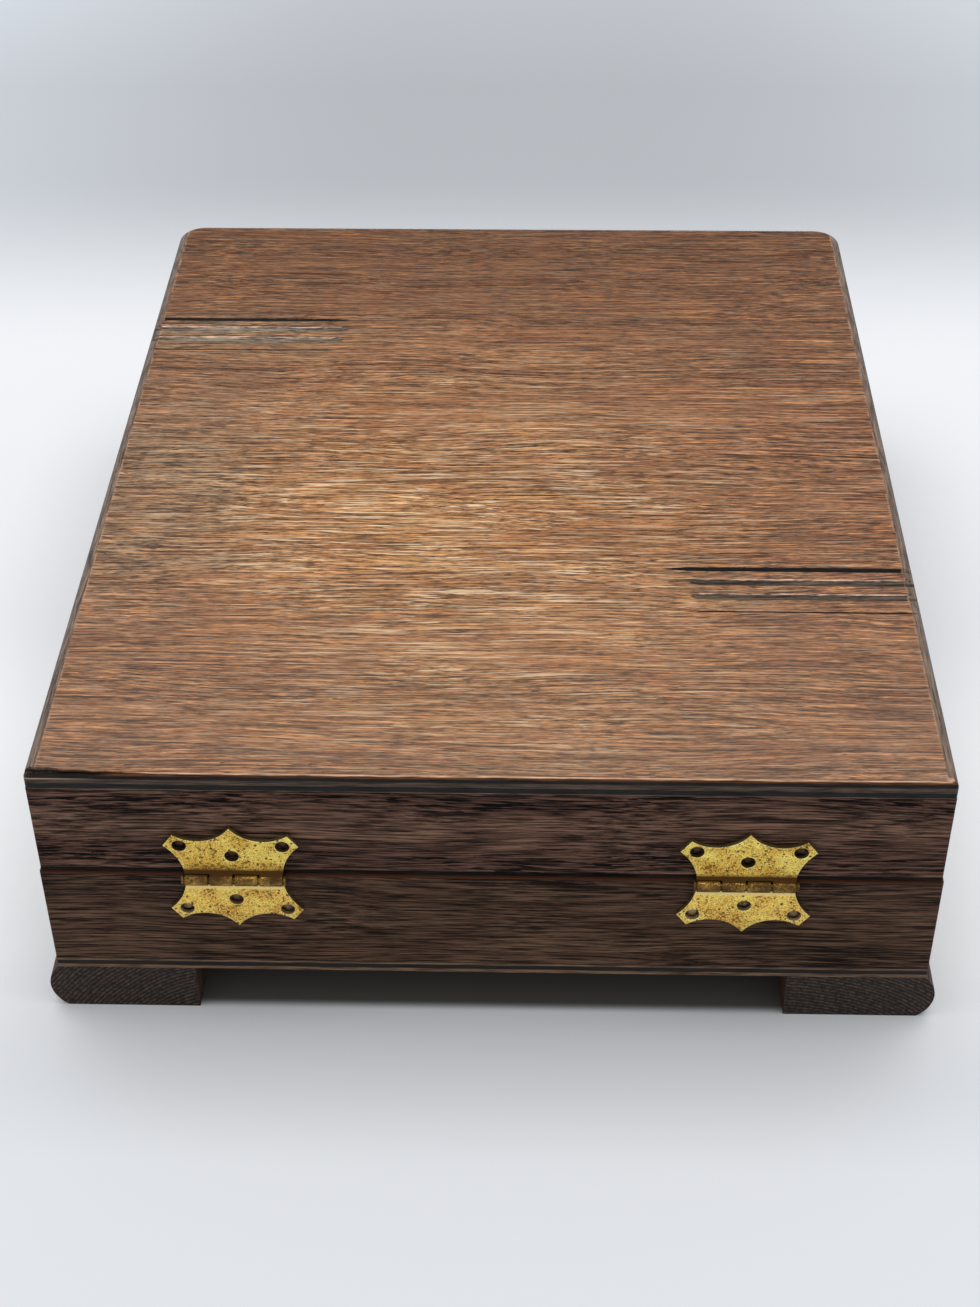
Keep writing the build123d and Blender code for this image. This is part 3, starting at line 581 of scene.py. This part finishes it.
# A leaf's sizes, in mm: its metal, its rolls, its bend and its nail holes
sheet = 1.4
stamped_ease = 0.22
barrel_radius = 1.75
bore_radius = 0.95
knuckle_pitch = 7.05
half_gap = 0.22
bend_radius = 2.2
nail_places = ((-14.4, 12.3), (0, 8.5), (14.4, 12.3))
nail_hole_radius = 2.0
lid_leaf_lean = 0.05  # the lid's leaves stand off the wood towards their peaks

# A leaf's bend runs on into its roll where the two rounds touch
bend_start = sqrt((bend_radius + barrel_radius) ** 2 - (sheet + bend_radius - axis_off_wood) ** 2)
bend_end = bend_start * barrel_radius / (bend_radius + barrel_radius)
notch_end = barrel_radius + 0.35
inner_roll = (half_gap - knuckle_pitch, -half_gap)
outer_roll = (knuckle_pitch + half_gap, 2 * knuckle_pitch - half_gap)


def arc_through(a, b, c, steps):
    """Points along the arc from a by b to c, without the last."""
    (ax, ay), (bx, by), (cx, cy) = a, b, c
    d = 2 * (ax * (by - cy) + bx * (cy - ay) + cx * (ay - by))
    squares = [x * x + y * y for x, y in (a, b, c)]
    x = (squares[0] * (by - cy) + squares[1] * (cy - ay) + squares[2] * (ay - by)) / d
    y = (squares[0] * (cx - bx) + squares[1] * (ax - cx) + squares[2] * (bx - ax)) / d
    start, through, end = (atan2(q - y, p - x) for p, q in (a, b, c))
    turn = (end - start) % (2 * pi)
    if (through - start) % (2 * pi) > turn:
        turn -= 2 * pi
    radius = sqrt((ax - x) ** 2 + (ay - y) ** 2)
    turns = [start + turn * i / steps for i in range(steps)]
    return [(x + radius * cos(angle), y + radius * sin(angle)) for angle in turns]


def leaf_outline():
    """A flat leaf, from its outer roll round its wings and back along its notches."""
    neck, waist, tip, corner, dip, peak = (
        (outer_roll[1], 0), (15.3, 7.2), (19, 12.3), (16, 16.4), (8.2, 14.2), (0, 19.1))
    wing = arc_through(neck, waist, tip, 26) + [tip] + arc_through(corner, dip, peak, 22)
    right = [(neck[0], bend_end)] + [point for point in wing if point[1] > bend_end] + [peak]
    left = [(-x, y) for x, y in reversed(wing) if y > notch_end]
    foot = [(left[-1][0], notch_end)]
    for x_from, x_to in ((inner_roll[0], inner_roll[1]), (outer_roll[0], None)):
        foot += [(x_from, notch_end), (x_from, bend_end)]
        foot += [(x_to, bend_end), (x_to, notch_end)] if x_to else []
    return right + left + foot


def bent(out, off, lean):
    """Where a point of the flat leaf goes: out from the axis, and off the wood."""
    if out >= bend_start:
        return out + lean * (out - bend_start), off + lean * (out - bend_start)
    turn = asin(min(1, (bend_start - out) / bend_radius))
    radius = bend_radius + sheet - off
    return bend_start - radius * sin(turn), sheet + bend_radius - radius * cos(turn)


def hinge_leaf(name, side, upward):
    """A leaf: a plate cut from the outline with eased edges, and then bent, and its rolls."""
    flat = bpy.data.curves.new(name, "CURVE")
    flat.dimensions = "2D"
    flat.fill_mode = "BOTH"
    flat.extrude = sheet / 2 - stamped_ease
    flat.bevel_depth = stamped_ease
    flat.bevel_resolution = 2
    flat.offset = -stamped_ease
    hole = [(nail_hole_radius * cos(i * pi / 14), nail_hole_radius * sin(i * pi / 14))
            for i in range(28)]
    for ring in [leaf_outline()] + [[(x + u, y + v) for u, v in hole] for x, y in nail_places]:
        spline = flat.splines.new("POLY")
        spline.points.add(len(ring) - 1)
        for point, (x, y) in zip(spline.points, ring):
            point.co = (x, y, 0, 1)
        spline.use_cyclic_u = True
    holder = bpy.data.objects.new(name, flat)
    plate = bpy.data.meshes.new_from_object(holder)
    bpy.data.objects.remove(holder)
    body = bmesh.new()
    body.from_mesh(plate)
    bmesh.ops.remove_doubles(body, verts=body.verts, dist=0.001)
    body.normal_update()
    face_slot, edge_slot, roll_slot, rim_slot, hole_slot = range(5)
    for face in body.faces:
        middle = face.calc_center_median().xy
        from_hole = min((middle - Vector(place)).length for place in nail_places)
        facing = abs(face.normal.z)
        if facing > 0.97 or (facing > 0.5 and middle.y < bend_start):
            face.material_index = face_slot
        # Eased rims past the bend take the painted highlight
        elif facing > 0.5:
            face.material_index = rim_slot
        # Hole walls in the base leaves take the pale painted light
        elif from_hole < nail_hole_radius + 0.5 and upward < 0:
            face.material_index = hole_slot
        else:
            face.material_index = edge_slot
    bends = 7
    full_turn = asin((bend_start - bend_end) / bend_radius)
    for step in range(bends + 1):
        level = bend_start - bend_radius * sin(full_turn * step / bends)
        bmesh.ops.bisect_plane(body, geom=body.verts[:] + body.edges[:] + body.faces[:],
                               plane_co=(0, level, 0), plane_no=(0, 1, 0))
    lean = lid_leaf_lean if upward > 0 else 0
    for vert in body.verts:
        out, off = bent(vert.co.y, vert.co.z + sheet / 2, lean)
        vert.co = (vert.co.x, off, out)
    around = 36
    eased_radius = barrel_radius - stamped_ease
    for low, high in (inner_roll, outer_roll):
        section = [(low, bore_radius), (low, eased_radius), (low + stamped_ease, barrel_radius),
                   (high - stamped_ease, barrel_radius), (high, eased_radius), (high, bore_radius)]
        loops = []
        for i in range(around):
            turn = 2 * pi * i / around
            loop = [(x, axis_off_wood + radius * sin(turn), radius * cos(turn))
                    for x, radius in section]
            loops.append([body.verts.new(point) for point in loop])
        for here, there in zip(loops, loops[1:] + loops[:1]):
            for j in range(len(section)):
                k = (j + 1) % len(section)
                face = body.faces.new((here[j], here[k], there[k], there[j]))
                face.material_index = roll_slot
    for vert in body.verts:
        x, off, out = vert.co
        vert.co = ((side * hinge_x - upward * x) * mm, back_y + off * mm,
                   (axis_z + upward * out) * mm)
    bmesh.ops.recalc_face_normals(body, faces=body.faces)
    mesh = bpy.data.meshes.new(name)
    body.to_mesh(mesh)
    body.free()
    face_brass = lid_brass if upward > 0 else base_brass
    for metal in (face_brass, edge_brass, roll_brass, highlight_rim_brass, painted_light_hole_brass):
        mesh.materials.append(metal)
    mesh.polygons.foreach_set("use_smooth", [True] * len(mesh.polygons))
    mesh.set_sharp_from_angle(angle=radians(32))
    leaf = bpy.data.objects.new(name, mesh)
    bpy.context.scene.collection.objects.link(leaf)
    return leaf


for hand, side in {"left": 1, "right": -1}.items():
    for part, upward in {"lid": 1, "base": -1}.items():
        leaf = hinge_leaf(f"stamped_{part}_leaf_{hand}", side, upward)
        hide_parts(f"hinge_{part}_leaf_{hand}")
        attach(leaf, part)
    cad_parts[f"hinge_pin_{hand}"].data.materials[0] = roll_brass


# ---------------------------------------------------------------------------
# Hinge nails: small round heads driven below the brass. Those in the lid are dark, and
# those in the base pale.
# ---------------------------------------------------------------------------
nail_profile = ((0, 0.2), (0.5, 0.18), (1.0, 0.1), (1.35, -0.02), (1.55, -0.2), (1.55, -0.35),
                (0.6, -0.9), (0.6, -6), (0, -6))


def nail_group(name, part, upward, material):
    """The nails of both leaves on the base or the lid, each turned from the profile."""
    around = 20
    points, faces = [], []
    lean = lid_leaf_lean if upward > 0 else 0
    for side in (1, -1):
        for x, out in nail_places:
            first = len(points)
            out, base_off = bent(out, 0, lean)
            for radius, off in nail_profile:
                for i in range(around):
                    turn = 2 * pi * i / around
                    points.append((
                        (side * hinge_x - upward * (x + radius * cos(turn))) * mm,
                        back_y + (off + base_off) * mm,
                        (axis_z + upward * (out + radius * sin(turn))) * mm,
                    ))
            for ring in range(len(nail_profile) - 1):
                for i in range(around):
                    j = (i + 1) % around
                    a, b = first + ring * around, first + (ring + 1) * around
                    faces.append((a + i, a + j, b + j, b + i))
    nails = mesh_piece(name, points, faces, material)
    body = bmesh.new()
    body.from_mesh(nails.data)
    bmesh.ops.remove_doubles(body, verts=body.verts, dist=0.001 * mm)
    bmesh.ops.dissolve_degenerate(body, edges=body.edges, dist=0.001 * mm)
    bmesh.ops.recalc_face_normals(body, faces=body.faces)
    body.to_mesh(nails.data)
    body.free()
    nails.data.set_sharp_from_angle(angle=radians(50))
    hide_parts(f"{part}_hinge_nails")
    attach(nails, part)


black_nail = speckled_brass("dark_nail_heads", "5c4a35", "33281d", speckle=0.1, rough=0.5)
pale_nail = speckled_brass("pale_nail_heads", "9a8460", "6b5738", speckle=0.2, rough=0.5,
                           metal=0.6)
nail_group("sunk_lid_nails", "lid", 1, black_nail)
nail_group("sunk_base_nails", "base", -1, pale_nail)


# ---------------------------------------------------------------------------
# Catch: its plates, hook and pins are cut from brass sheet and rod, and less
# tarnished than the hinges. Two small nails hold each plate.
# ---------------------------------------------------------------------------
catch_brass = speckled_brass("cut_brass_catch", "d9b65e", "bd9544", speckle=0.08, rough=0.34)
for node in ("catch_base_plate", "catch_keeper_plate", "catch_hook", "catch_pivot_pin",
             "catch_stud"):
    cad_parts[node].data.materials[0] = catch_brass
for node in ("catch_base_nails", "catch_keeper_nails"):
    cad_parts[node].data.materials[0] = pale_nail


# ---------------------------------------------------------------------------
# Runner screws: six slotted steel screws, turned, left bright and gone a little
# grey, sunk into the undersides of the runners.
# ---------------------------------------------------------------------------
steel, tree = empty_material("turned_steel_screws")
dulled = add(tree, "TexNoise", in_millimetres(tree), 2.5, 3)
clouded = add(tree, "MapRange", dulled, 0.35, 0.65)
grey = add(tree, "Mix", clouded, linear("8f8b86"), linear("635e58"), **in_colour)
gloss = add(tree, "MapRange", dulled, 0.3, 0.7, 0.3, 0.55)
finish = add(tree, "BsdfPrincipled", feeds={
    "Base Color": grey, "Metallic": 1.0, "Roughness": gloss})
add(tree, "OutputMaterial", finish)
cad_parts["runner_screws"].data.materials[0] = steel


# ---------------------------------------------------------------------------
# Pads and wall linings: brown short-pile velvet glued over card, with rolled edges.
# Stroked pile shows as soft patches, paler where it leans to the light.
# ---------------------------------------------------------------------------
velvet, tree = empty_material("short_pile_velvet")
place = in_millimetres(tree)
stroked = add(tree, "MapRange", add(tree, "TexNoise", place, 0.035, 3), 0.4, 0.62)
pressed = add(tree, "MapRange", add(tree, "TexNoise", place, 0.12, 2), 0.5, 0.75, 0, 0.5)
# Real pile is about 0.1 mm thick a thread: its tufts are drawn 0.5 mm wide
tufts = add(tree, "TexNoise", place, 2.0, 2)
pile = add(tree, "Mix", stroked, linear("4a2620"), linear("63362c"), **in_colour)
pile = add(tree, "Mix", pressed, pile, linear("381b16"), **in_colour)
shadow = add(tree, "MapRange", tufts, 0.3, 0.7, 0.8, 1.15)
pile = add(tree, "Mix", 1, pile, shadow, **multiplied)
bump = add(tree, "Bump", feeds={"Height": tufts, "Strength": 0.7, "Distance": 0.3 * mm})
finish = add(tree, "BsdfPrincipled", feeds={
    "Base Color": pile, "Roughness": 0.95, "Normal": bump, "Specular IOR Level": 0.1,
    "Sheen Weight": 0.6, "Sheen Roughness": 0.4, "Sheen Tint": linear("b98a78")})
add(tree, "OutputMaterial", finish)


def stations(low, high, edge, spacing):
    """Where a padded card's faces are divided: closely round its edges, and evenly between."""
    steps = max(2, ceil((high - low - 2 * edge) / spacing))
    inner = [low + edge + (high - low - 2 * edge) * i / steps for i in range(steps + 1)]
    round_in = [low, low + 0.3 * edge, low + 0.65 * edge]
    round_out = [high - 0.65 * edge, high - 0.3 * edge, high]
    return round_in + inner + round_out


def padded_card(name, node, body, crown, edge, spacing=7):
    """A covered card in a node's box: edges rolled to a radius, and its open face crowned."""
    low, high = (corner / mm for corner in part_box(node))
    lines = [stations(low[i], high[i], edge, spacing) for i in range(3)]
    counts = [len(line) - 1 for line in lines]
    index, points, faces = {}, [], []
    for axis in range(3):
        u, v = (axis + 1) % 3, (axis + 2) % 3
        for end in (0, counts[axis]):
            for a in range(counts[u]):
                for b in range(counts[v]):
                    corners = []
                    for step_u, step_v in ((0, 0), (1, 0), (1, 1), (0, 1)):
                        spot = [0, 0, 0]
                        spot[axis], spot[u], spot[v] = end, a + step_u, b + step_v
                        if tuple(spot) not in index:
                            index[tuple(spot)] = len(points)
                            points.append(Vector([lines[i][spot[i]] for i in range(3)]))
                        corners.append(index[tuple(spot)])
                    faces.append(corners if end else corners[::-1])
    middle = (low + high) / 2
    half = (high - low) / 2
    thin = min(range(3), key=lambda i: half[i])
    # The open face looks to the middle of the chest: up from the floor, down from the ceiling
    inward = 1 if (middle - Vector((0, 0, seam_z / mm)))[thin] < 0 else -1
    placed = []
    for p in points:
        kernel = Vector([min(max(p[i], low[i] + edge), high[i] - edge) for i in range(3)])
        away = p - kernel
        if away.length:
            p = kernel + away.normalized() * edge
        if (p[thin] - middle[thin]) * inward > 0:
            rim = 1
            for i in range(3):
                if i != thin:
                    rim *= 1 - abs((p[i] - middle[i]) / half[i]) ** 10
            soft = noise.noise(p * 0.03) * 0.5 + noise.noise(p * 0.11) * 0.25
            p[thin] -= inward * crown * (1 - rim * (0.85 + 0.3 * soft))
        placed.append(p * mm)
    card = mesh_piece(name, placed, faces, velvet)
    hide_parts(node)
    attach(card, body)


for part, pad in {"base": "floor", "lid": "ceiling"}.items():
    padded_card(f"velvet_{part}_{pad}_pad", f"{part}_{pad}_pad", part, crown=0.8, edge=1.4)
    for hand in ("back", "front", "left", "right"):
        padded_card(f"velvet_{part}_{hand}_lining", f"{part}_{hand}_lining", part,
                    crown=0.3, edge=0.75)


# ---------------------------------------------------------------------------
# Slotted rests and racks: bars of soft wood with sawn slots, covered in the same
# velvet, which rounds every edge and dips a little over the slots.
# ---------------------------------------------------------------------------
for node, body in {"base_back_rest": "base", "base_front_rest": "base",
                   "lid_handle_rack": "lid", "lid_blade_rack": "lid"}.items():
    bar = bpy.data.objects.new(f"velvet_{node}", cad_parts[node].data.copy())
    bpy.context.scene.collection.objects.link(bar)
    form = bmesh.new()
    form.from_mesh(bar.data)
    bmesh.ops.remove_doubles(form, verts=form.verts, dist=0.01 * mm)
    form.to_mesh(bar.data)
    form.free()
    even = bar.modifiers.new("even", "REMESH")
    even.mode = "VOXEL"
    even.voxel_size = 1.3 * mm
    relax = bar.modifiers.new("relax", "SMOOTH")
    relax.factor = 0.5
    relax.iterations = 4
    covered_bar = bar.evaluated_get(bpy.context.evaluated_depsgraph_get())
    cloth = bpy.data.meshes.new_from_object(covered_bar)
    bar.modifiers.clear()
    bar.data = cloth
    unevenness = 0.15
    normals = [vert.normal.copy() for vert in cloth.vertices]
    for vert, normal in zip(cloth.vertices, normals):
        soft = noise.noise(vert.co * 90) + 0.5 * noise.noise(vert.co * 260)
        vert.co += normal * unevenness * mm * soft
    cloth.materials.clear()
    cloth.materials.append(velvet)
    cloth.polygons.foreach_set("use_smooth", [True] * len(cloth.polygons))
    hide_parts(node)
    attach(bar, body)
